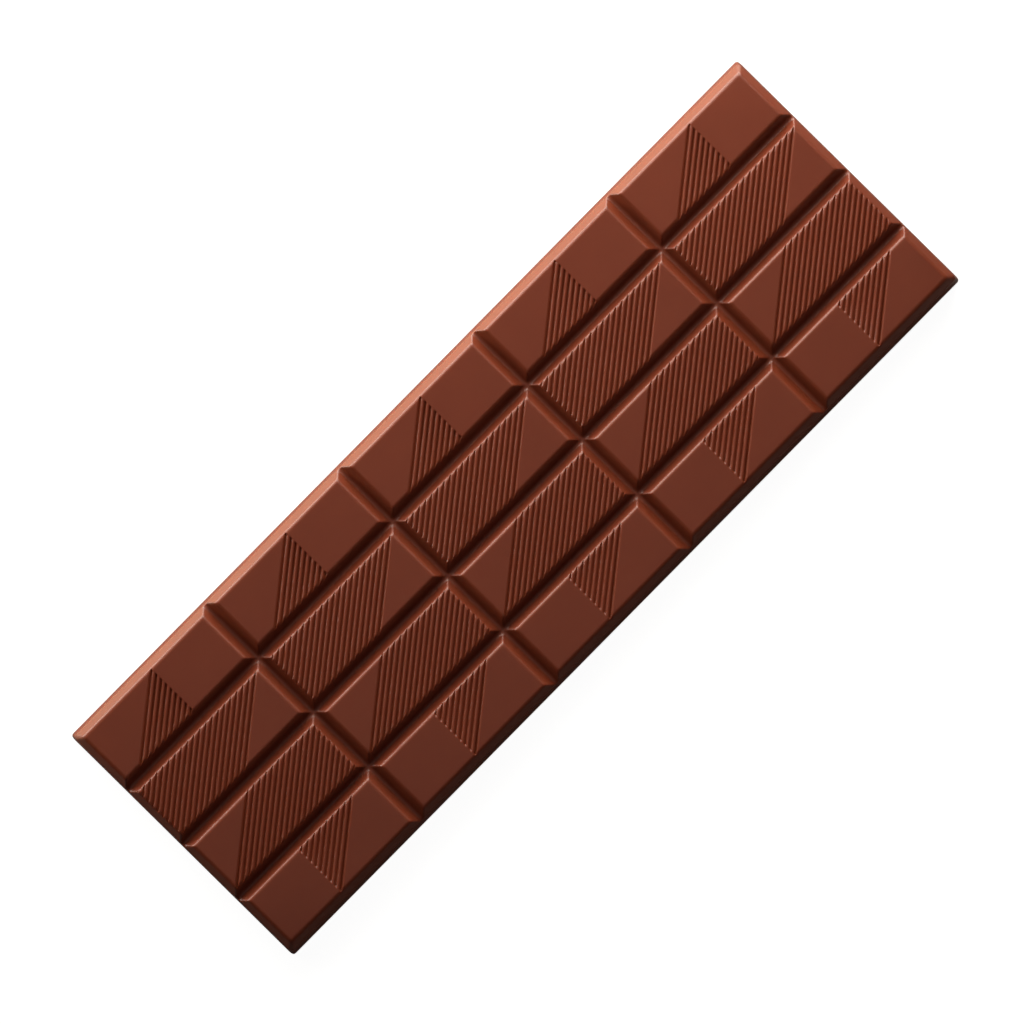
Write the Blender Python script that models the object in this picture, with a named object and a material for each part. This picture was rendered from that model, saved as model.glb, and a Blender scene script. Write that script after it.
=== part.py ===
"""A moulded tablet of milk chocolate: one slab scored into five columns and four rows.

Origin under the middle of the flat back, +X along the tablet, +Y across it,
+Z out of the moulded face. Lengths are in metres, angles in radians.
"""

import math

import bmesh
import bpy
from mathutils import Vector

MM = 0.001

# The slab as it leaves its mould, flat back down.
LENGTH = 182.0 * MM
WIDTH = 60.0 * MM
THICKNESS = 7.6 * MM
END_DRAFT = 1.8 * MM  # how far each end leans in from the back to the face
SIDE_DRAFT = 2.1 * MM  # the same for the two long sides
SHOULDER_DROP = 2.2 * MM  # the top of each side leans further, like a score's wall, down to here
PLAN_CORNER = 0.8 * MM  # radius of the four corners, seen from above
RIM_ROUND = 0.7 * MM  # every edge of the moulded face
BACK_ROUND = 0.25 * MM  # the edge of the poured back
CORNER_STEPS = 4
ROUND_STEPS = 2

# The V-shaped score lines that the tablet is broken along.
COLUMNS = 5
ROWS = 4
COLUMN_PITCH = 36.6 * MM
ROW_PITCH = 14.8 * MM
COLUMN_SCORE_WIDTH = 3.6 * MM
ROW_SCORE_WIDTH = 3.4 * MM
SCORE_DEPTH = 2.0 * MM
SCORE_FILLET = 0.8 * MM
FILLET_STEPS = 3

# The fine slanted grooves, one comb of parallel lines through each column's middle.
RIB_PITCH = 1.04 * MM
RIB_ANGLE = math.radians(38.3)
RIB_GROOVE_WIDTH = 0.56 * MM
RIB_GROOVE_DEPTH = 0.36 * MM
RIB_TIP = 0.3 * MM  # the slope that closes a groove's stopped end
SHORTEST_RIB = 1.2 * MM
STOP_LINE = 2.62 * MM  # where the ribs of the outer rows end, from the column's middle
INNER_ROW_RIBS = (0, 19)  # first and last groove of the comb, counted from the diagonal
OUTER_ROW_RIBS = (11, 19)

# How far a cutter reaches past the surface it opens.
CLEARANCE = 1.0 * MM
RUN_OUT = 1.2 * MM

CHOCOLATE_COLOUR = (0.141, 0.034, 0.019, 1.0)
CHOCOLATE_ROUGHNESS = 0.36


def clear_scene():
    for obj in list(bpy.data.objects):
        bpy.data.objects.remove(obj, do_unlink=True)


def add_object(name, mesh):
    obj = bpy.data.objects.new(name, mesh)
    bpy.context.scene.collection.objects.link(obj)
    return obj


def finish_guide(name, shape):
    """Makes a cutter, which shapes the tablet and isn't part of it."""
    bmesh.ops.recalc_face_normals(shape, faces=shape.faces)
    mesh = bpy.data.meshes.new(name)
    shape.to_mesh(mesh)
    shape.free()
    guide = add_object(name, mesh)
    guide.hide_render = True
    guide.display_type = "WIRE"
    return guide


def milk_chocolate():
    material = bpy.data.materials.new("milk_chocolate")
    material.use_nodes = True
    shader = material.node_tree.nodes["Principled BSDF"]
    shader.inputs["Base Color"].default_value = CHOCOLATE_COLOUR
    shader.inputs["Roughness"].default_value = CHOCOLATE_ROUGHNESS
    shader.inputs["Metallic"].default_value = 0.0
    return material


def rolled_edge(lean, radius, steps):
    """The round between a wall that leans in by an angle and the level above it.

    Each point is how far in it lies from the sharp edge, and how far below it.
    """
    tangent = radius * math.tan((math.pi / 2 - lean) / 2)
    points = []
    for step in range(steps + 1):
        turn = lean + (math.pi / 2 - lean) * step / steps
        points.append((tangent - radius * math.cos(turn), radius - radius * math.sin(turn)))
    return points


def rounded_outline(half_x, half_y, radius, z):
    """A rectangle with round corners, counter-clockwise from above."""
    centres = ((1, 1), (-1, 1), (-1, -1), (1, -1))
    points = []
    for quarter, (side_x, side_y) in enumerate(centres):
        for step in range(CORNER_STEPS + 1):
            angle = math.pi / 2 * (quarter + step / CORNER_STEPS)
            x = side_x * (half_x - radius) + radius * math.cos(angle)
            y = side_y * (half_y - radius) + radius * math.sin(angle)
            points.append((x, y, z))
    return points


def score_lean(half_width):
    """How far a score's walls lean from upright, so that they meet its round bottom."""
    rise = SCORE_DEPTH - SCORE_FILLET
    return math.acos(SCORE_FILLET / math.hypot(half_width, rise)) - math.atan2(rise, half_width)


def slab_levels():
    """The slab's wall from the back up: inset at the ends, inset at the sides, height."""
    back = [(inset, inset, below) for inset, below in rolled_edge(0.0, BACK_ROUND, ROUND_STEPS)]
    lean = score_lean(COLUMN_SCORE_WIDTH / 2)
    run = SHOULDER_DROP * math.tan(lean)
    shoulder = (END_DRAFT - run, SIDE_DRAFT - run, THICKNESS - SHOULDER_DROP)
    face = [
        (END_DRAFT + inset, SIDE_DRAFT + inset, THICKNESS - below)
        for inset, below in rolled_edge(lean, RIM_ROUND, ROUND_STEPS)
    ]
    return list(reversed(back)) + [shoulder] + face


def slab(name):
    shape = bmesh.new()
    rings = []
    for inset_x, inset_y, z in slab_levels():
        outline = rounded_outline(LENGTH / 2 - inset_x, WIDTH / 2 - inset_y, PLAN_CORNER, z)
        rings.append([shape.verts.new(point) for point in outline])
    for lower, upper in zip(rings, rings[1:]):
        for i, start in enumerate(lower):
            end = (i + 1) % len(lower)
            shape.faces.new((start, lower[end], upper[end], upper[i]))
    shape.faces.new(list(reversed(rings[0])))
    shape.faces.new(rings[-1])
    mesh = bpy.data.meshes.new(name)
    shape.to_mesh(mesh)
    shape.free()
    return add_object(name, mesh)


def score_profile(width):
    """A score line seen along its length: across it, and height above the back."""
    half_width = width / 2
    lean = score_lean(half_width)
    floor = THICKNESS - SCORE_DEPTH
    side = []
    for step in range(1, FILLET_STEPS + 1):
        turn = (math.pi / 2 - lean) * step / FILLET_STEPS
        across = SCORE_FILLET * math.sin(turn)
        side.append((across, floor + SCORE_FILLET - SCORE_FILLET * math.cos(turn)))
    for inset, below in rolled_edge(lean, RIM_ROUND, ROUND_STEPS):
        side.append((half_width + inset, THICKNESS - below))
    # The last facet carries on in its own direction, clear of the face.
    (across_a, z_a), (across_b, z_b) = side[-2:]
    slope = (z_b - z_a) / (across_b - across_a)
    side[-1] = (across_b + CLEARANCE, z_b + slope * CLEARANCE)
    side.append((across_b + CLEARANCE, THICKNESS + 2 * CLEARANCE))
    other_side = [(-across, z) for across, z in reversed(side)]
    return other_side + [(0.0, floor)] + side


def add_prism(shape, near, far):
    """A closed solid between two outlines of the same number of corners."""
    shape.faces.new(near)
    shape.faces.new(list(reversed(far)))
    for i, start in enumerate(near):
        following = (i + 1) % len(near)
        shape.faces.new((start, far[i], far[following], near[following]))


def score_cutter(name, width, place, along_x):
    """A straight bar of the score's shape, longer than the slab at both ends."""
    half_length = (LENGTH if along_x else WIDTH) / 2 + CLEARANCE
    shape = bmesh.new()
    outlines = []
    for end in (-half_length, half_length):
        outline = []
        for across, z in score_profile(width):
            x, y = (end, place + across) if along_x else (place + across, end)
            outline.append(shape.verts.new((x, y, z)))
        outlines.append(outline)
    add_prism(shape, *outlines)
    return finish_guide(name, shape)


def centred(count, pitch):
    """Places of evenly pitched things, the middle of the row at zero."""
    return [(i - (count - 1) / 2) * pitch for i in range(count)]


def score_cutters():
    cutters = []
    for number, x in enumerate(centred(COLUMNS - 1, COLUMN_PITCH)):
        cutters.append(score_cutter(f"column_score_{number}", COLUMN_SCORE_WIDTH, x, False))
    for number, y in enumerate(centred(ROWS - 1, ROW_PITCH)):
        cutters.append(score_cutter(f"row_score_{number}", ROW_SCORE_WIDTH, y, True))
    return cutters


def face_span(index, count, pitch, score_width, half_face):
    """Lowest and highest edge of one segment's face along one direction."""
    middle = (index - (count - 1) / 2) * pitch
    low = -half_face if index == 0 else middle - pitch / 2 + score_width / 2
    high = half_face if index == count - 1 else middle + pitch / 2 - score_width / 2
    return low, high


def rib_fields():
    """Each ribbed segment: its middle, its limits in X and Y, and its grooves' offsets.

    The pattern turns half round into itself: the two upper rows lie above the
    column's diagonal, and the two lower rows repeat them below it.
    """
    half_face_x = LENGTH / 2 - END_DRAFT
    half_face_y = WIDTH / 2 - SIDE_DRAFT
    fields = []
    for column, middle in enumerate(centred(COLUMNS, COLUMN_PITCH)):
        x_low, x_high = face_span(column, COLUMNS, COLUMN_PITCH, COLUMN_SCORE_WIDTH, half_face_x)
        for row in range(ROWS):
            y_low, y_high = face_span(row, ROWS, ROW_PITCH, ROW_SCORE_WIDTH, half_face_y)
            side = 1 if row >= ROWS / 2 else -1
            outer = row in (0, ROWS - 1)
            first, last = OUTER_ROW_RIBS if outer else INNER_ROW_RIBS
            stop = middle + side * STOP_LINE if outer else None
            offsets = [side * (n + 0.5) * RIB_PITCH for n in range(first, last + 1)]
            fields.append((middle, (x_low, x_high), (y_low, y_high), stop, offsets))
    return fields


def rib_stretch(middle, x_span, y_span, stop, offset):
    """Where one groove starts and ends: its run along its own line, and its stopped end."""
    along = Vector((math.cos(RIB_ANGLE), math.sin(RIB_ANGLE)))
    foot = Vector((middle, 0.0)) + offset * Vector((-along.y, along.x))
    start = max((x_span[0] - foot.x) / along.x, (y_span[0] - foot.y) / along.y)
    end = min((x_span[1] - foot.x) / along.x, (y_span[1] - foot.y) / along.y)
    stopped_at = None
    if stop is not None:
        limit = (stop - foot.x) / along.x
        if offset > 0 and limit < end:
            end = limit
            stopped_at = "end"
        if offset < 0 and limit > start:
            start = limit
            stopped_at = "start"
    return foot, along, start, end, stopped_at


def add_groove(shape, foot, along, start, end, stopped_at):
    """A closed V-shaped prism: it runs out over a rim, or comes to a point inside a face."""
    # The prism stands as far above the face as it cuts below it, so it is twice as wide there.
    half_width = Vector((-along.y, along.x)) * RIB_GROOVE_WIDTH
    ends = []
    for place, outward, stopped in ((start, -1, "start"), (end, 1, "end")):
        if stopped_at == stopped:
            keel, top = place - outward * RIB_TIP, place + outward * RIB_TIP
        else:
            keel = top = place + outward * RUN_OUT
        low = foot + along * keel
        left = foot + along * top + half_width
        right = foot + along * top - half_width
        corners = [(low, -RIB_GROOVE_DEPTH), (left, RIB_GROOVE_DEPTH), (right, RIB_GROOVE_DEPTH)]
        ends.append([shape.verts.new((at.x, at.y, THICKNESS + rise)) for at, rise in corners])
    add_prism(shape, *ends)


def rib_cutter(name):
    shape = bmesh.new()
    for middle, x_span, y_span, stop, offsets in rib_fields():
        for offset in offsets:
            foot, along, start, end, stopped_at = rib_stretch(middle, x_span, y_span, stop, offset)
            if end - start > SHORTEST_RIB:
                add_groove(shape, foot, along, start, end, stopped_at)
    return finish_guide(name, shape)


def cut(obj, cutter):
    modifier = obj.modifiers.new(cutter.name, "BOOLEAN")
    modifier.operation = "DIFFERENCE"
    modifier.solver = "EXACT"
    modifier.object = cutter


def chocolate_bar():
    bar = slab("chocolate_bar")
    bar.data.materials.append(milk_chocolate())
    for cutter in score_cutters():
        cut(bar, cutter)
    cut(bar, rib_cutter("rib_grooves"))
    return bar


clear_scene()
chocolate_bar()
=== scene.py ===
import math

import bmesh
import bpy
from mathutils import Matrix, Vector, noise
from mathutils.geometry import delaunay_2d_cdt


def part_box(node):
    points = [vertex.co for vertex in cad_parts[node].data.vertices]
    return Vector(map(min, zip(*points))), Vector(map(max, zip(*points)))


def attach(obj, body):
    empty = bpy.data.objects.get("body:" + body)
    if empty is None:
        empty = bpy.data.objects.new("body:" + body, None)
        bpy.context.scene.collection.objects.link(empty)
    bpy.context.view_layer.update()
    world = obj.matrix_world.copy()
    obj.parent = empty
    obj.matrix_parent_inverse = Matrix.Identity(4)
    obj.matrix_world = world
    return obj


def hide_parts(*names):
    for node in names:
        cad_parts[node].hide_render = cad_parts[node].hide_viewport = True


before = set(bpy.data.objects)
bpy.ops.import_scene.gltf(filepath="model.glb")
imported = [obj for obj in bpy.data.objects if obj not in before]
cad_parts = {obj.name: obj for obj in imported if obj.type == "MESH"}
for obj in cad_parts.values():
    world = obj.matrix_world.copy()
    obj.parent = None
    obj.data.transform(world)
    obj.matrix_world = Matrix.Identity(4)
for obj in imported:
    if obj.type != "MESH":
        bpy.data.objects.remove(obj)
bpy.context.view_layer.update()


# ---------------------------------------------------------------------------
# Milk chocolate
# Cocoa butter, cocoa, sugar and milk powder, tempered and set against a polished mould. The mould
# leaves a satin skin with a faint cloud of milk fat in it, and light sinks a little way in.

MM = 0.001

COCOA_BROWN = "6d2e19"
MILKY_BROWN = "75331d"
# Between cocoa butter, at 1.46, and sugar, at 1.54.
CHOCOLATE_IOR = 1.5
SKIN_ROUGHNESS = 0.37
CLOUD_SIZE = 9 * MM
CLOUD_DETAIL = 4.0
# The ground sugar and cocoa are finer than 0.03 mm, so the grain is drawn coarse enough to show.
GRAIN_SIZE = 0.35 * MM
GRAIN_HEIGHT = 0.004 * MM
GRAIN_DETAIL = 2.0
# How much of the light sinks in, how deep it goes, and how far green and blue reach beside red.
SUNK_LIGHT = 0.2
LIGHT_DEPTH = 0.35 * MM
LIGHT_SPREAD = (1.0, 0.32, 0.16)


def add(tree, kind, inputs=(), **settings):
    """Adds a node. Its settings are its options, and its inputs are values or what feeds them."""
    node = tree.nodes.new(kind)
    for option, value in settings.items():
        setattr(node, option, value)
    for name, source in inputs.items() if isinstance(inputs, dict) else enumerate(inputs):
        if isinstance(source, bpy.types.Node):
            source = source.outputs[0]
        if isinstance(source, bpy.types.NodeSocket):
            tree.links.new(source, node.inputs[name])
        else:
            node.inputs[name].default_value = source
    return node


def linear(hex_colour):
    """An sRGB hex colour as the linear RGBA that a shader takes."""
    channels = [int(hex_colour[i : i + 2], 16) / 255 for i in (0, 2, 4)]
    return [c / 12.92 if c <= 0.04045 else ((c + 0.055) / 1.055) ** 2.4 for c in channels] + [1.0]


milk_chocolate = bpy.data.materials.new("milk_chocolate_moulded")
milk_chocolate.use_nodes = True
skin = milk_chocolate.node_tree
skin.nodes.clear()
place = add(skin, "ShaderNodeTexCoord").outputs["Object"]
cloud = add(
    skin,
    "ShaderNodeTexNoise",
    {"Vector": place, "Scale": 1 / CLOUD_SIZE, "Detail": CLOUD_DETAIL},
)
brown = add(
    skin,
    "ShaderNodeMix",
    {"Factor": cloud.outputs["Fac"], "A": linear(COCOA_BROWN), "B": linear(MILKY_BROWN)},
    data_type="RGBA",
)
grain = add(
    skin,
    "ShaderNodeTexNoise",
    {"Vector": place, "Scale": 1 / GRAIN_SIZE, "Detail": GRAIN_DETAIL},
)
uneven = add(
    skin,
    "ShaderNodeBump",
    {"Height": grain.outputs["Fac"], "Strength": 1.0, "Distance": GRAIN_HEIGHT},
)
shader = add(
    skin,
    "ShaderNodeBsdfPrincipled",
    {
        "Base Color": brown.outputs["Result"],
        "Roughness": SKIN_ROUGHNESS,
        "IOR": CHOCOLATE_IOR,
        "Normal": uneven.outputs["Normal"],
        "Subsurface Weight": SUNK_LIGHT,
        "Subsurface Scale": LIGHT_DEPTH,
        "Subsurface Radius": LIGHT_SPREAD,
    },
)
add(skin, "ShaderNodeOutputMaterial", {"Surface": shader})


# ---------------------------------------------------------------------------
# The mould's plan
# A tablet mould is scribed on its plate before it is cut: the edge of every segment, the lines
# along its score lines and the slanted comb of the ribs. The columns are alike but for the two
# at the ends, so one middle column and one end column are scribed here, flat.

COLUMNS = 5
ROWS = 4
COLUMN_PITCH = 36.6 * MM
ROW_PITCH = 14.8 * MM
COLUMN_SCORE_HALF = 1.8 * MM
ROW_SCORE_HALF = 1.7 * MM
SCORE_DEPTH = 2.0 * MM
SCORE_FILLET = 0.8 * MM
END_DRAFT = 1.8 * MM
SIDE_DRAFT = 2.1 * MM
BACK_ROUND = 0.25 * MM
RIM_ROUND = 1.0 * MM
ARRIS_ROUND = 0.5 * MM
CORNER_ROUND = 1.2 * MM
# The plate is the tablet below its segments. A share is how far down its side a place lies, from
# 0 at the top to 1 at the back: how round its corners are, and where the lines down them start.
PLATE_ROUND = 0.6 * MM
PLATE_CORNER_SHARE = 2.4
PLATE_CORNER_START = -0.1
RIM_STEPS = 6
ROUND_STEPS = 3
# Lines this close beside a curve keep the flat next to it flat.
FLAT_MARGIN = 0.15 * MM
MERGE_DISTANCE = 0.002 * MM
# The plan is cut into triangles in millimetres, where points this close are one.
SAME_POINT = 1e-5

RIB_PITCH = 1.04 * MM
RIB_ANGLE = math.radians(38.3)
RIB_DEPTH = 0.4 * MM
RIB_STOP = 2.62 * MM
RIB_STOP_ROUND = 0.4 * MM
OUTER_ROW_RIBS = 20
LINES_PER_RIB = 8

tablet_low, tablet_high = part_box("chocolate_bar")
half_length = (tablet_high.x - tablet_low.x) / 2
half_width = (tablet_high.y - tablet_low.y) / 2
thickness = tablet_high.z - tablet_low.z

score_rise = SCORE_DEPTH - SCORE_FILLET
wall_lean = math.acos(SCORE_FILLET / math.hypot(COLUMN_SCORE_HALF, score_rise))
wall_lean -= math.atan2(score_rise, COLUMN_SCORE_HALF)
rim_inset = RIM_ROUND * math.tan((math.pi / 2 - wall_lean) / 2)
rib_end_reach = math.sqrt(RIM_ROUND**2 - (RIM_ROUND - RIB_DEPTH) ** 2) - rim_inset
mouth_reach = SCORE_DEPTH * math.tan(wall_lean)

# A reach is how far outside its segment's sharp edge a line lies, in plan.
rim_reaches = [-rim_inset - FLAT_MARGIN]
for step in range(RIM_STEPS + 1):
    turn = (math.pi / 2 - wall_lean) * step / RIM_STEPS
    rim_reaches.append(RIM_ROUND * math.sin(turn) - rim_inset)
score_reaches = list(rim_reaches)
for step in range(ROUND_STEPS + 2):
    share = 1 - step / (ROUND_STEPS + 1)
    score_reaches.append(COLUMN_SCORE_HALF - SCORE_FILLET * math.cos(wall_lean) * share)


class Side:
    """One side of a segment: where its face ends, which way is outwards, and the lines along it."""

    def __init__(self, edge, outwards, scale, reaches, outer):
        self.edge = edge
        self.outwards = outwards
        self.scale = scale
        self.reaches = reaches
        self.outer = outer
        self.plate_run = reaches[-1] - mouth_reach

    def at(self, reach):
        """Where a line at this reach crosses the segment's own axis."""
        return self.edge + self.outwards * self.scale * reach

    def lines(self):
        return [self.at(reach) for reach in self.reaches]

    def plate_share(self, place):
        """How far down the plate's side a place lies: 0 at its top edge and 1 at the outline."""
        return ((place - self.edge) * self.outwards - mouth_reach) / self.plate_run

    def at_share(self, share):
        return self.at(mouth_reach + share * self.plate_run)


def score_side(middle, pitch, score_half, outwards):
    edge = middle + outwards * (pitch / 2 - score_half)
    return Side(edge, outwards, score_half / COLUMN_SCORE_HALF, score_reaches, False)


def outer_side(edge, draft, outwards):
    reaches = list(rim_reaches)
    spread = PLATE_ROUND * math.tan(wall_lean) / 2
    for step in range(-ROUND_STEPS, ROUND_STEPS + 1):
        reaches.append(mouth_reach + spread * step / ROUND_STEPS)
    reaches.append((mouth_reach + draft) / 2)
    reaches.append(draft)
    return Side(outwards * edge, outwards, 1, reaches, True)


def corner_rays(side_x, side_y):
    """Lines out from a segment's corner, along the arris where its two walls meet."""
    spread = CORNER_ROUND if side_x.outer and side_y.outer else ARRIS_ROUND
    ends = [mouth_reach if side.outer else side.reaches[-1] for side in (side_x, side_y)]
    rays = []
    for step in range(-ROUND_STEPS, ROUND_STEPS + 1):
        lead = spread * step / ROUND_STEPS
        lead_x, lead_y = max(lead, 0), max(-lead, 0)
        reaches = (-rim_inset, min(ends[0] - lead_x, ends[1] - lead_y))
        rays.append([(side_x.at(reach + lead_x), side_y.at(reach + lead_y)) for reach in reaches])
    return rays


def corner_cut(lead):
    """What a smooth maximum adds where one of its two values leads the other by this much."""
    blend = max(PLATE_CORNER_SHARE - abs(lead), 0)
    return blend**3 / PLATE_CORNER_SHARE**2 / 6


def plate_corner(side_x, side_y):
    """The tablet's outline round one of its own corners, and lines down the plate's side there."""
    lines = []
    outline = []
    steps = 4 * ROUND_STEPS
    for step in range(-steps, steps + 1):
        lead = PLATE_CORNER_SHARE * step / steps
        lead_x, lead_y = max(lead, 0), max(-lead, 0)
        share = 1 - corner_cut(lead) - lead_x - lead_y
        outline.append((side_x.at_share(share + lead_x), side_y.at_share(share + lead_y)))
        if step % ROUND_STEPS == 0:
            start_x = side_x.at_share(PLATE_CORNER_START + lead_x)
            start_y = side_y.at_share(PLATE_CORNER_START + lead_y)
            lines.append([(start_x, start_y), outline[-1]])
    return lines + [outline]


def inside_corner(x, y, side_x, side_y):
    """Whether a point lies inside the outline at one of the tablet's corners."""
    share_x, share_y = side_x.plate_share(x), side_y.plate_share(y)
    return max(share_x, share_y) + corner_cut(share_x - share_y) < 1


def rib_lines(row, sides_x, sides_y):
    """The comb's lines over one segment, clipped to its face and rims."""
    side = 1 if row >= ROWS / 2 else -1
    in_outer_row = row in (0, ROWS - 1)
    low_x, high_x = sides_x[0].at(rib_end_reach), sides_x[1].at(rib_end_reach)
    low_y, high_y = sides_y[0].at(rib_end_reach), sides_y[1].at(rib_end_reach)
    if in_outer_row and side > 0:
        high_x = RIB_STOP
    if in_outer_row and side < 0:
        low_x = -RIB_STOP
    along_x, along_y = math.cos(RIB_ANGLE), math.sin(RIB_ANGLE)
    steps = range(OUTER_ROW_RIBS * LINES_PER_RIB + 1)
    offsets = [RIB_PITCH * step / LINES_PER_RIB for step in steps]
    lines = []
    for offset in [-FLAT_MARGIN, *offsets, offsets[-1] + FLAT_MARGIN]:
        offset *= side
        foot_x, foot_y = -offset * along_y, offset * along_x
        start = max((low_x - foot_x) / along_x, (low_y - foot_y) / along_y)
        end = min((high_x - foot_x) / along_x, (high_y - foot_y) / along_y)
        if end - start > RIB_PITCH / LINES_PER_RIB:
            runs = (start, end)
            lines.append([(foot_x + along_x * run, foot_y + along_y * run) for run in runs])
    if in_outer_row:
        stops = [RIB_STOP_ROUND * step / (ROUND_STEPS + 1) for step in range(ROUND_STEPS + 2)]
        for stop in [-FLAT_MARGIN, *stops]:
            x = side * (RIB_STOP - stop)
            lines.append([(x, low_y), (x, high_y)])
    return lines


def triangulated(lines):
    """The triangles that a set of crossing lines cuts the plane into, as points and faces."""
    points, edges = [], []
    for line in lines:
        edges += [(len(points) + i, len(points) + i + 1) for i in range(len(line) - 1)]
        points += [Vector(point) / MM for point in line]
    made, _, faces, *_ = delaunay_2d_cdt(points, edges, [], 0, SAME_POINT)
    return [point * MM for point in made], faces


def scribed_column(name, sides_x):
    """One column of the plan, scribed segment by segment, as a flat mesh of triangles."""
    plan = bmesh.new()
    for row in range(ROWS):
        middle = (row - (ROWS - 1) / 2) * ROW_PITCH
        sides_y = []
        for outwards, last in ((-1, row == 0), (1, row == ROWS - 1)):
            if last:
                sides_y.append(outer_side(half_width - SIDE_DRAFT, SIDE_DRAFT, outwards))
            else:
                sides_y.append(score_side(middle, ROW_PITCH, ROW_SCORE_HALF, outwards))
        xs = sides_x[0].lines() + sides_x[1].lines()
        ys = sides_y[0].lines() + sides_y[1].lines()
        lines = [[(x, min(ys)), (x, max(ys))] for x in xs]
        lines += [[(min(xs), y), (max(xs), y)] for y in ys]
        lines += rib_lines(row, sides_x, sides_y)
        corners = [(side_x, side_y) for side_x in sides_x for side_y in sides_y]
        tablet_corners = [corner for corner in corners if corner[0].outer and corner[1].outer]
        for corner in corners:
            lines += corner_rays(*corner)
        for corner in tablet_corners:
            lines += plate_corner(*corner)
        points, faces = triangulated(lines)
        verts = [plan.verts.new((*point, 0)) for point in points]
        for face in faces:
            x, y = sum((points[i] for i in face), Vector((0, 0))) / 3
            if all(inside_corner(x, y, *corner) for corner in tablet_corners):
                plan.faces.new([verts[i] for i in face])
    loose = [vert for vert in plan.verts if not vert.link_faces]
    bmesh.ops.delete(plan, geom=loose, context="VERTS")
    mesh = bpy.data.meshes.new(name)
    plan.to_mesh(mesh)
    plan.free()
    return bpy.data.objects.new(name, mesh)


left_score = score_side(0, COLUMN_PITCH, COLUMN_SCORE_HALF, -1)
right_score = score_side(0, COLUMN_PITCH, COLUMN_SCORE_HALF, 1)
end_middle = COLUMN_PITCH * (COLUMNS - 1) / 2
right_end = outer_side(half_length - END_DRAFT - end_middle, END_DRAFT, 1)
middle_plan = scribed_column("middle_column_plan", (left_score, right_score))
end_plan = scribed_column("end_column_plan", (left_score, right_end))


# ---------------------------------------------------------------------------
# Moulded tablet
# The tablet's relief follows one rule: how far a place lies past the rim of its segment gives
# how deep the mould's wall is there. Score lines, outer sides and corners share that rule, and
# the comb of the ribs is cut into the faces. The columns of the plan are set side by side.


def start_group(name, inputs, outputs):
    """A new group of geometry nodes and what its input node gives."""
    group = bpy.data.node_groups.new(name, "GeometryNodeTree")
    for labels, direction in ((inputs, "INPUT"), (outputs, "OUTPUT")):
        for label, kind in labels.items():
            group.interface.new_socket(label, in_out=direction, socket_type="NodeSocket" + kind)
    return group, add(group, "NodeGroupInput").outputs


def floats(*names):
    return {name: "Float" for name in names}


# How far a place lies from the nearest of a number of evenly spaced lines.
nearest_line, given = start_group(
    "nearest_line", floats("Along", "Pitch", "Count"), floats("Offset")
)
last = add(nearest_line, "ShaderNodeMath", [given["Count"], 1.0], operation="SUBTRACT")
half = add(nearest_line, "ShaderNodeMath", [last, 2.0], operation="DIVIDE")
pitches = add(nearest_line, "ShaderNodeMath", [given["Along"], given["Pitch"]], operation="DIVIDE")
pitches = add(nearest_line, "ShaderNodeMath", [pitches, half], operation="ADD")
number = add(nearest_line, "ShaderNodeMath", [pitches], operation="ROUND")
number = add(nearest_line, "ShaderNodeClamp", {"Value": number, "Min": 0.0, "Max": last})
number = add(nearest_line, "ShaderNodeMath", [number, half], operation="SUBTRACT")
line = add(nearest_line, "ShaderNodeMath", [number, given["Pitch"]], operation="MULTIPLY")
offset = add(nearest_line, "ShaderNodeMath", [given["Along"], line], operation="SUBTRACT")
add(nearest_line, "NodeGroupOutput", {"Offset": offset})

# How deep a surface has turned, past where it leaves the level in an arc that ends in a wall.
rolled_edge, given = start_group("rolled_edge", floats("Past", "Radius", "Lean"), floats("Depth"))
cosine = add(rolled_edge, "ShaderNodeMath", [given["Lean"]], operation="COSINE")
slope = add(rolled_edge, "ShaderNodeMath", [given["Lean"]], operation="TANGENT")
arc = add(rolled_edge, "ShaderNodeMath", [given["Radius"], cosine], operation="MULTIPLY")
run = add(rolled_edge, "ShaderNodeClamp", {"Value": given["Past"], "Min": 0.0, "Max": arc})
run = add(rolled_edge, "ShaderNodeMath", [run, run], operation="MULTIPLY")
rise = add(rolled_edge, "ShaderNodeMath", [given["Radius"], given["Radius"]], operation="MULTIPLY")
rise = add(rolled_edge, "ShaderNodeMath", [rise, run], operation="SUBTRACT")
rise = add(rolled_edge, "ShaderNodeMath", [rise], operation="SQRT")
turned = add(rolled_edge, "ShaderNodeMath", [given["Radius"], rise], operation="SUBTRACT")
wall = add(rolled_edge, "ShaderNodeMath", [given["Past"], arc], operation="SUBTRACT")
wall = add(rolled_edge, "ShaderNodeMath", [wall, 0.0], operation="MAXIMUM")
wall = add(rolled_edge, "ShaderNodeMath", [wall, slope], operation="DIVIDE")
depth = add(rolled_edge, "ShaderNodeMath", [turned, wall], operation="ADD")
add(rolled_edge, "NodeGroupOutput", {"Depth": depth})

# The comb of ribs over one column: its grooves slant across the middle rows, one half a turned
# copy of the other, and fade out at a stop line in the outer rows.
comb_sizes = floats("Pitch", "Angle", "Depth", "Row pitch", "Stop", "Stop round", "Count")
comb, given = start_group("comb", {"Place": "Vector", **comb_sizes}, floats("Depth"))
across = add(comb, "ShaderNodeSeparateXYZ", [given["Place"]])
half_sign = add(comb, "ShaderNodeMath", [across.outputs["Y"]], operation="SIGN")
turn_back = add(comb, "ShaderNodeMath", [given["Angle"], -1.0], operation="MULTIPLY")
slanted = add(
    comb,
    "ShaderNodeVectorRotate",
    {"Vector": given["Place"], "Angle": turn_back},
    rotation_type="Z_AXIS",
)
slanted = add(comb, "ShaderNodeSeparateXYZ", [slanted]).outputs["Y"]
from_middle = add(comb, "ShaderNodeMath", [slanted, half_sign], operation="MULTIPLY")
half_pitch = add(comb, "ShaderNodeMath", [given["Pitch"], 2.0], operation="DIVIDE")
closeness = add(comb, "ShaderNodeMath", [from_middle, half_pitch], operation="PINGPONG")
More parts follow.
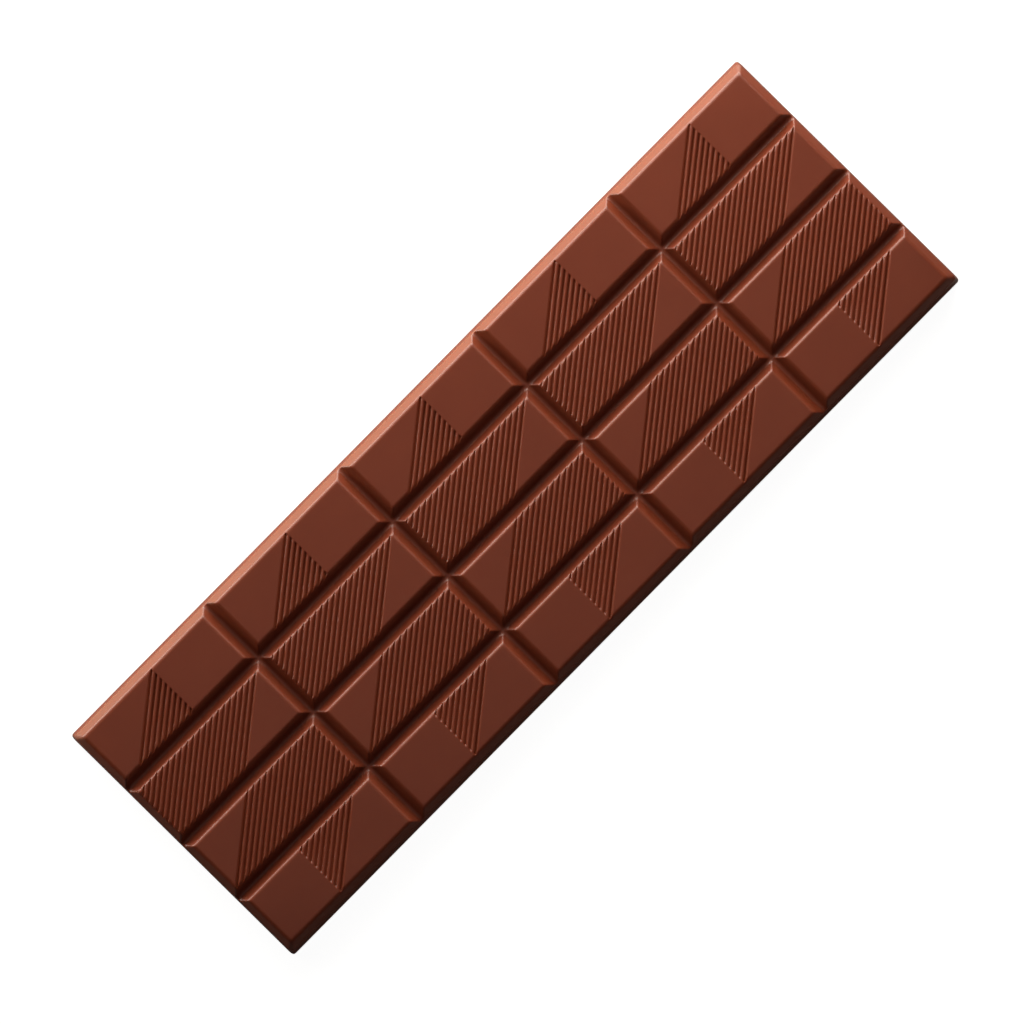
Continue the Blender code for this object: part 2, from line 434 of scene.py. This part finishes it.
closeness = add(comb, "ShaderNodeMath", [closeness, half_pitch], operation="DIVIDE")
farness = add(comb, "ShaderNodeMath", [1.0, closeness], operation="SUBTRACT")
away = add(comb, "ShaderNodeMath", [across.outputs["Y"]], operation="ABSOLUTE")
in_outer_row = add(comb, "ShaderNodeMath", [away, given["Row pitch"]], operation="GREATER_THAN")
towards_stop = add(comb, "ShaderNodeMath", [across.outputs["X"], half_sign], operation="MULTIPLY")
past_stop = add(comb, "ShaderNodeMath", [towards_stop, given["Stop"]], operation="SUBTRACT")
past_stop = add(comb, "ShaderNodeMath", [past_stop, given["Stop round"]], operation="DIVIDE")
past_stop = add(comb, "ShaderNodeMath", [past_stop, 1.0], operation="ADD")
past_stop = add(comb, "ShaderNodeMath", [past_stop, 0.0], operation="MAXIMUM")
past_stop = add(comb, "ShaderNodeMath", [past_stop, in_outer_row], operation="MULTIPLY")
past_stop = add(comb, "ShaderNodeMath", [past_stop, past_stop], operation="MULTIPLY")
farness = add(comb, "ShaderNodeMath", [farness, farness, past_stop], operation="MULTIPLY_ADD")
farness = add(comb, "ShaderNodeMath", [farness], operation="SQRT")
farness = add(comb, "ShaderNodeMath", [farness, 1.0], operation="MINIMUM")
closeness = add(comb, "ShaderNodeMath", [1.0, farness], operation="SUBTRACT")
depth = add(comb, "ShaderNodeMath", [closeness, closeness], operation="MULTIPLY")
depth = add(comb, "ShaderNodeMath", [depth, given["Depth"]], operation="MULTIPLY")
last_rib = add(comb, "ShaderNodeMath", [given["Pitch"], given["Count"]], operation="MULTIPLY")
in_comb = add(comb, "ShaderNodeMath", [from_middle, last_rib], operation="LESS_THAN")
in_inner_row = add(comb, "ShaderNodeMath", [1.0, in_outer_row], operation="SUBTRACT")
in_comb = add(comb, "ShaderNodeMath", [in_comb, in_inner_row], operation="MAXIMUM")
over_middle = add(comb, "ShaderNodeMath", [from_middle, 0.0], operation="GREATER_THAN")
in_comb = add(comb, "ShaderNodeMath", [in_comb, over_middle], operation="MULTIPLY")
depth = add(comb, "ShaderNodeMath", [depth, in_comb], operation="MULTIPLY")
add(comb, "NodeGroupOutput", {"Depth": depth})

sizes = {
    "Columns": COLUMNS,
    "Rows": ROWS,
    "Column pitch": COLUMN_PITCH,
    "Row pitch": ROW_PITCH,
    "Column score half": COLUMN_SCORE_HALF,
    "Row score half": ROW_SCORE_HALF,
    "Score depth": SCORE_DEPTH,
    "Score fillet": SCORE_FILLET,
    "Wall lean": wall_lean,
    "Rim round": RIM_ROUND,
    "Rim inset": rim_inset,
    "Arris round": ARRIS_ROUND,
    "Corner round": CORNER_ROUND,
    "Face half length": half_length - END_DRAFT,
    "Face half width": half_width - SIDE_DRAFT,
    "Mouth reach": mouth_reach,
    "Plate end run": END_DRAFT - mouth_reach,
    "Plate side run": SIDE_DRAFT - mouth_reach,
    "Plate height": thickness - BACK_ROUND - SCORE_DEPTH,
    "Plate round": PLATE_ROUND,
    "Plate corner share": PLATE_CORNER_SHARE,
    "Thickness": thickness,
    "Rib pitch": RIB_PITCH,
    "Rib angle": RIB_ANGLE,
    "Rib depth": RIB_DEPTH,
    "Rib stop": RIB_STOP,
    "Rib stop round": RIB_STOP_ROUND,
    "Outer row ribs": OUTER_ROW_RIBS,
    "Merge distance": MERGE_DISTANCE,
}
tablet_tree, given = start_group(
    "moulded_tablet",
    {"Plan": "Geometry", **floats(*sizes), "Chocolate": "Material"},
    {"Tablet": "Geometry"},
)
place = add(tablet_tree, "GeometryNodeInputPosition")
across = add(tablet_tree, "ShaderNodeSeparateXYZ", [place])
x, y = across.outputs["X"], across.outputs["Y"]

score_reach = []
for along, pitch, count, score_half in (
    (x, given["Column pitch"], given["Columns"], given["Column score half"]),
    (y, given["Row pitch"], given["Rows"], given["Row score half"]),
):
    count = add(tablet_tree, "ShaderNodeMath", [count, 1.0], operation="SUBTRACT")
    inputs = {"Along": along, "Pitch": pitch, "Count": count}
    offset = add(tablet_tree, "GeometryNodeGroup", inputs, node_tree=nearest_line)
    distance = add(tablet_tree, "ShaderNodeMath", [offset], operation="ABSOLUTE")
    reach = add(tablet_tree, "ShaderNodeMath", [score_half, distance], operation="SUBTRACT")
    reach = add(tablet_tree, "ShaderNodeMath", [reach, score_half], operation="DIVIDE")
    reach = add(
        tablet_tree, "ShaderNodeMath", [reach, given["Column score half"]], operation="MULTIPLY"
    )
    score_reach.append(reach)
reach = add(
    tablet_tree, "ShaderNodeMath", [*score_reach, given["Arris round"]], operation="SMOOTH_MAX"
)
past = add(
    tablet_tree, "ShaderNodeMath", [given["Column score half"], reach], operation="SUBTRACT"
)
inputs = {"Past": past, "Radius": given["Score fillet"], "Lean": given["Wall lean"]}
rise = add(tablet_tree, "GeometryNodeGroup", inputs, node_tree=rolled_edge)
slope = add(tablet_tree, "ShaderNodeMath", [given["Wall lean"]], operation="TANGENT")
reach = add(tablet_tree, "ShaderNodeMath", [given["Score depth"], rise], operation="SUBTRACT")
score_reach = add(tablet_tree, "ShaderNodeMath", [reach, slope], operation="MULTIPLY")

outer_reach = []
plate_share = []
for along, face_half, plate_run in (
    (x, given["Face half length"], given["Plate end run"]),
    (y, given["Face half width"], given["Plate side run"]),
):
    distance = add(tablet_tree, "ShaderNodeMath", [along], operation="ABSOLUTE")
    reach = add(tablet_tree, "ShaderNodeMath", [distance, face_half], operation="SUBTRACT")
    outer_reach.append(reach)
    share = add(tablet_tree, "ShaderNodeMath", [reach, given["Mouth reach"]], operation="SUBTRACT")
    share = add(tablet_tree, "ShaderNodeMath", [share, plate_run], operation="DIVIDE")
    plate_share.append(share)
reach = add(
    tablet_tree, "ShaderNodeMath", [*outer_reach, given["Corner round"]], operation="SMOOTH_MAX"
)
reach = add(
    tablet_tree, "ShaderNodeMath", [reach, score_reach, given["Arris round"]], operation="SMOOTH_MAX"
)
past = add(tablet_tree, "ShaderNodeMath", [reach, given["Rim inset"]], operation="ADD")
inputs = {"Past": past, "Radius": given["Rim round"], "Lean": given["Wall lean"]}
walls = add(tablet_tree, "GeometryNodeGroup", inputs, node_tree=rolled_edge)
share = add(
    tablet_tree,
    "ShaderNodeMath",
    [*plate_share, given["Plate corner share"]],
    operation="SMOOTH_MAX",
)
plate = add(
    tablet_tree,
    "ShaderNodeMath",
    [share, given["Plate height"], given["Score depth"]],
    operation="MULTIPLY_ADD",
)
walls = add(
    tablet_tree, "ShaderNodeMath", [walls, plate, given["Plate round"]], operation="SMOOTH_MAX"
)

inputs = {"Along": x, "Pitch": given["Column pitch"], "Count": given["Columns"]}
from_column = add(tablet_tree, "GeometryNodeGroup", inputs, node_tree=nearest_line)
rib_place = add(tablet_tree, "ShaderNodeCombineXYZ", {"X": from_column, "Y": y})
inputs = {
    "Place": rib_place,
    "Pitch": given["Rib pitch"],
    "Angle": given["Rib angle"],
    "Depth": given["Rib depth"],
    "Row pitch": given["Row pitch"],
    "Stop": given["Rib stop"],
    "Stop round": given["Rib stop round"],
    "Count": given["Outer row ribs"],
}
grooves = add(tablet_tree, "GeometryNodeGroup", inputs, node_tree=comb)
cut = add(tablet_tree, "ShaderNodeMath", [walls, grooves], operation="MAXIMUM")
height = add(tablet_tree, "ShaderNodeMath", [given["Thickness"], cut], operation="SUBTRACT")
raised = add(tablet_tree, "ShaderNodeCombineXYZ", {"X": x, "Y": y, "Z": height})

end_column = add(tablet_tree, "GeometryNodeObjectInfo", {"Object": end_plan})
middle_column = add(tablet_tree, "GeometryNodeObjectInfo", {"Object": middle_plan})
middles = add(tablet_tree, "ShaderNodeMath", [given["Columns"], 2.0], operation="SUBTRACT")
spacing = add(tablet_tree, "ShaderNodeCombineXYZ", {"X": given["Column pitch"]})
first = add(tablet_tree, "ShaderNodeMath", [middles, 1.0], operation="SUBTRACT")
first = add(tablet_tree, "ShaderNodeMath", [first, -0.5], operation="MULTIPLY")
first = add(tablet_tree, "ShaderNodeMath", [first, given["Column pitch"]], operation="MULTIPLY")
first = add(tablet_tree, "ShaderNodeCombineXYZ", {"X": first})
row_of_middles = add(
    tablet_tree,
    "GeometryNodeMeshLine",
    {"Count": middles, "Start Location": first, "Offset": spacing},
)
middle_columns = add(
    tablet_tree,
    "GeometryNodeInstanceOnPoints",
    {"Points": row_of_middles, "Instance": middle_column.outputs["Geometry"]},
)
to_end = add(tablet_tree, "ShaderNodeMath", [given["Columns"], 1.0], operation="SUBTRACT")
to_end = add(tablet_tree, "ShaderNodeMath", [to_end, 0.5], operation="MULTIPLY")
to_end = add(tablet_tree, "ShaderNodeMath", [to_end, given["Column pitch"]], operation="MULTIPLY")
end_shift = add(tablet_tree, "ShaderNodeCombineXYZ", {"X": to_end})
right_column = add(
    tablet_tree,
    "GeometryNodeTransform",
    {"Geometry": end_column.outputs["Geometry"], "Translation": end_shift},
)
left_column = add(
    tablet_tree,
    "GeometryNodeTransform",
    {"Geometry": right_column, "Rotation": (0, 0, math.pi)},
)
columns = add(tablet_tree, "GeometryNodeJoinGeometry")
for part in (middle_columns, right_column, left_column):
    tablet_tree.links.new(part.outputs[0], columns.inputs["Geometry"])
plan = add(tablet_tree, "GeometryNodeRealizeInstances", [columns])
plan = add(
    tablet_tree,
    "GeometryNodeMergeByDistance",
    {"Geometry": plan, "Distance": given["Merge distance"]},
)
tablet = add(tablet_tree, "GeometryNodeSetPosition", {"Geometry": plan, "Position": raised})
tablet = add(
    tablet_tree, "GeometryNodeSetMaterial", {"Geometry": tablet, "Material": given["Chocolate"]}
)
add(tablet_tree, "NodeGroupOutput", {"Tablet": tablet})

moulding = bpy.data.objects.new("moulding", bpy.data.meshes.new("moulding"))
bpy.context.scene.collection.objects.link(moulding)
moulder = moulding.modifiers.new("moulder", "NODES")
moulder.node_group = tablet_tree
for socket in tablet_tree.interface.items_tree:
    if socket.name in sizes and socket.in_out == "INPUT":
        moulder[socket.identifier] = float(sizes[socket.name])
    if socket.name == "Chocolate":
        moulder[socket.identifier] = milk_chocolate
depsgraph = bpy.context.evaluated_depsgraph_get()
mesh = bpy.data.meshes.new_from_object(moulding.evaluated_get(depsgraph))
for scaffold in (moulding, middle_plan, end_plan):
    bpy.data.objects.remove(scaffold)

# The back is what was scraped level in the mould: a small round along its edge, and a face that
# sank a little as it set.
BACK_GRID = 2.5 * MM
BACK_SINK = 0.1 * MM
BACK_RIPPLE = 0.05 * MM
BACK_RIPPLE_SIZE = 7 * MM
BACK_LIP = 5 * MM
BACK_SAME_POINT = 1e-6
SHARP_ANGLE = math.radians(42)

body = bmesh.new()
body.from_mesh(mesh)
rim = [edge for edge in body.edges if edge.is_boundary]
for step in range(1, ROUND_STEPS + 1):
    turn = math.pi / 2 * step / ROUND_STEPS
    inset = BACK_ROUND * (1 - math.cos(turn))
    before = BACK_ROUND * (1 - math.cos(math.pi / 2 * (step - 1) / ROUND_STEPS))
    made = bmesh.ops.extrude_edge_only(body, edges=rim)["geom"]
    rim = [item for item in made if isinstance(item, bmesh.types.BMEdge) and item.is_boundary]
    for vert in {vert for edge in rim for vert in edge.verts}:
        vert.co.x *= (half_length - inset) / (half_length - before)
        vert.co.y *= (half_width - inset) / (half_width - before)
        vert.co.z = BACK_ROUND * (1 - math.sin(turn))

outline = dict.fromkeys(vert for edge in rim for vert in edge.verts)
order = {vert: number for number, vert in enumerate(outline)}
points = [vert.co.xy / MM for vert in order]
edges = [(order[edge.verts[0]], order[edge.verts[1]]) for edge in rim]
across_back = int(half_width / BACK_GRID)
along_back = int(half_length / BACK_GRID)
for i in range(-along_back, along_back + 1):
    for j in range(-across_back, across_back + 1):
        points.append(Vector((i, j)) * BACK_GRID / MM)
made, _, faces, origins, *_ = delaunay_2d_cdt(points, edges, [], 1, BACK_SAME_POINT)
known = {}
for number, sources in enumerate(origins):
    for source in sources:
        if source < len(order):
            known[number] = source
by_order = list(order)
verts = []
for number, point in enumerate(made):
    if number in known:
        verts.append(by_order[known[number]])
        continue
    x, y = point * MM
    lip = min(half_length - abs(x), half_width - abs(y), BACK_LIP) / BACK_LIP
    eased = lip * lip * (3 - 2 * lip)
    ripple = noise.noise((x / BACK_RIPPLE_SIZE, y / BACK_RIPPLE_SIZE, 0))
    z = eased * (BACK_SINK + BACK_RIPPLE * ripple)
    verts.append(body.verts.new((x, y, z)))
for face in faces:
    body.faces.new([verts[i] for i in reversed(face)])
bmesh.ops.recalc_face_normals(body, faces=body.faces)
body.to_mesh(mesh)
body.free()
mesh.shade_smooth()
mesh.set_sharp_from_angle(angle=SHARP_ANGLE)

tablet = bpy.data.objects.new("moulded_chocolate_bar", mesh)
bpy.context.scene.collection.objects.link(tablet)
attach(tablet, "root")
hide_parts("chocolate_bar")


# ---------------------------------------------------------------------------
# Studio
# A wide matt table that burns out to white, as for a catalogue picture. Soft boxes stand close
# beside the tablet's +Y side in two tiers, so that the walls that face them are bright and the
# others stay dark. One card hangs overhead, one lies on the table before the boxes, and two
# faint ones fill from the front.

TABLE_GREY = "8c8c8a"
TABLE_ROUGHNESS = 0.9
TABLE_SHEEN = 0.1
TABLE_HALF_SPAN = 9.0
# The table glows for the camera only, so that it burns out without lighting the tablet.
TABLE_GLOW = 0.95
# The room gives little light, and is seen white.
ROOM_WHITE = "f7f5f2"
ROOM_LIGHT = 0.02
ROOM_SEEN = 1.05
LAMP_WHITE = "fff9ee"
BOX_DISTANCE = 0.33
BOX_WIDTH = 0.24
# Each box's height, how high its middle stands, its power in watts and its azimuths in degrees.
BOXES = {
    "low_soft_box": (0.08, 0.045, 0.8, (38, 76, 114)),
    "high_soft_box": (0.18, 0.2, 0.85, (36, 72)),
    "fill_card": (0.08, 0.06, 0.06, (-105, -60)),
}
# Each flat card's length, width, power in watts, place and colour.
CARDS = {
    "overhead_card": (0.7, 0.7, 0.42, (0, 0, 1.1), "ffffff"),
    "table_card": (0.24, 0.06, 0.075, (0.01, 0.062, 0.001), "ffeec2"),
}

CAMERA_DISTANCE = 2.0
CAMERA_TILT = math.radians(0.4)
CAMERA_TURN = math.radians(45.39)
CAMERA_AIM = Vector((-1.0 * MM, -0.1 * MM, 0))
CAMERA_REACH = 20.0
FRAME_WIDTH = 196.4 * MM
SENSOR_WIDTH = 36.0

table_top = bpy.data.materials.new("matt_laminate")
table_top.use_nodes = True
laminate = table_top.node_tree
laminate.nodes.clear()
seen = add(laminate, "ShaderNodeLightPath").outputs["Is Camera Ray"]
glow = add(laminate, "ShaderNodeMath", [seen, TABLE_GLOW], operation="MULTIPLY")
shader = add(
    laminate,
    "ShaderNodeBsdfPrincipled",
    {
        "Base Color": linear(TABLE_GREY),
        "Roughness": TABLE_ROUGHNESS,
        "Specular IOR Level": TABLE_SHEEN,
        "Emission Color": (1.0, 1.0, 1.0, 1.0),
        "Emission Strength": glow,
    },
)
add(laminate, "ShaderNodeOutputMaterial", {"Surface": shader})
mesh = bpy.data.meshes.new("studio_table")
corners = [
    (side_x * TABLE_HALF_SPAN, side_y * TABLE_HALF_SPAN, 0)
    for side_x, side_y in ((-1, -1), (1, -1), (1, 1), (-1, 1))
]
mesh.from_pydata(corners, [], [(0, 1, 2, 3)])
mesh.materials.append(table_top)
table = bpy.data.objects.new("studio_table", mesh)
bpy.context.scene.collection.objects.link(table)

for name, (box_height, lift, power, azimuths) in BOXES.items():
    panel = bpy.data.lights.new(name, "AREA")
    panel.shape = "RECTANGLE"
    panel.size, panel.size_y = BOX_WIDTH, box_height
    panel.energy = power
    panel.color = linear(LAMP_WHITE)[:3]
    for number, azimuth in enumerate(azimuths):
        soft_box = bpy.data.objects.new(f"{name}_{number}", panel)
        bpy.context.scene.collection.objects.link(soft_box)
        turn = Matrix.Rotation(math.radians(azimuth), 3, "Z")
        soft_box.location = turn @ Vector((BOX_DISTANCE, 0, lift))
        soft_box.rotation_euler = soft_box.location.to_track_quat("Z", "Y").to_euler()
        soft_box.visible_camera = False
        soft_box.visible_glossy = name != "fill_card"

for name, (length, width, power, middle, colour) in CARDS.items():
    panel = bpy.data.lights.new(name, "AREA")
    panel.shape = "RECTANGLE"
    panel.size, panel.size_y = length, width
    panel.energy = power
    panel.color = linear(colour)[:3]
    card = bpy.data.objects.new(name, panel)
    bpy.context.scene.collection.objects.link(card)
    card.location = middle
    # The card on the table shines up, and the one overhead down.
    card.rotation_euler.x = 0 if middle[2] > thickness else math.pi
    card.visible_camera = False

room = bpy.data.worlds.new("pale_room")
room.use_nodes = True
air = room.node_tree
air.nodes.clear()
seen = add(air, "ShaderNodeLightPath").outputs["Is Camera Ray"]
strength = add(
    air, "ShaderNodeMapRange", {"Value": seen, "To Min": ROOM_LIGHT, "To Max": ROOM_SEEN}
)
background = add(
    air, "ShaderNodeBackground", {"Color": linear(ROOM_WHITE), "Strength": strength}
)
add(air, "ShaderNodeOutputWorld", {"Surface": background})
bpy.context.scene.world = room
bpy.context.scene.view_settings.view_transform = "Standard"

lens = bpy.data.cameras.new("camera")
lens.sensor_width = SENSOR_WIDTH
lens.lens = SENSOR_WIDTH * CAMERA_DISTANCE / FRAME_WIDTH
lens.clip_end = CAMERA_REACH
camera = bpy.data.objects.new("camera", lens)
bpy.context.scene.collection.objects.link(camera)
turned = Matrix.Rotation(CAMERA_TILT, 4, "X") @ Matrix.Rotation(-CAMERA_TURN, 4, "Z")
camera.matrix_world = (
    Matrix.Translation(CAMERA_AIM) @ turned @ Matrix.Translation((0, 0, CAMERA_DISTANCE))
)
bpy.context.scene.camera = camera
